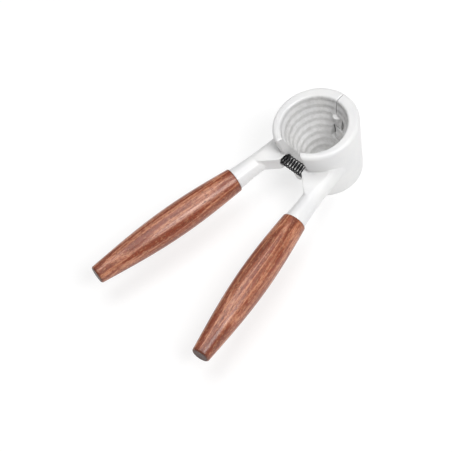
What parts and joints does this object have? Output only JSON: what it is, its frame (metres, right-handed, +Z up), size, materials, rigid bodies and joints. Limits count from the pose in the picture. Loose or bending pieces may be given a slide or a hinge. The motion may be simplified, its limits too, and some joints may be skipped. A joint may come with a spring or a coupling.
{
  "type": "nutcracker",
  "caption": "Two-lever nutcracker: white cast half cups with stepped ring teeth, hinged behind the cup, spring between the arms, turned wooden grips.",
  "frame": {"origin": "on the surface the cup stands on, midway along the tool and on its plane of symmetry", "axes": "+Z up along the cup's axis and the hinge pin, +Y from the grips to the hinge, +X to the right-hand lever"},
  "size_m": [0.0976, 0.1725, 0.046],
  "materials": {
    "jaw_paint": "smooth white powder coat, satin gloss",
    "grip_wood": "oiled reddish-brown hardwood with dark pores",
    "spring_steel": "black oxide spring wire",
    "pin_steel": "ground steel",
    "stud_steel": "zinc-plated steel"
  },
  "bodies": {
    "left_lever": {"left_jaw": "jaw_paint", "hinge_pin": "pin_steel", "return_spring": "spring_steel", "left_grip": "grip_wood", "left_stud": "stud_steel"},
    "right_lever": {"right_jaw": "jaw_paint", "right_grip": "grip_wood", "right_stud": "stud_steel"}
  },
  "joints": [
    {"name": "jaw_hinge", "type": "hinge", "parent": "left_lever", "child": "right_lever", "pos_m": [0, 0.07672, 0.023], "axis": [0, 0, 1], "range_deg": [-22.6, 0], "stiffness_Nm_per_rad": 2, "springref_deg": 20.05, "deforming": ["return_spring"]}
  ]
}
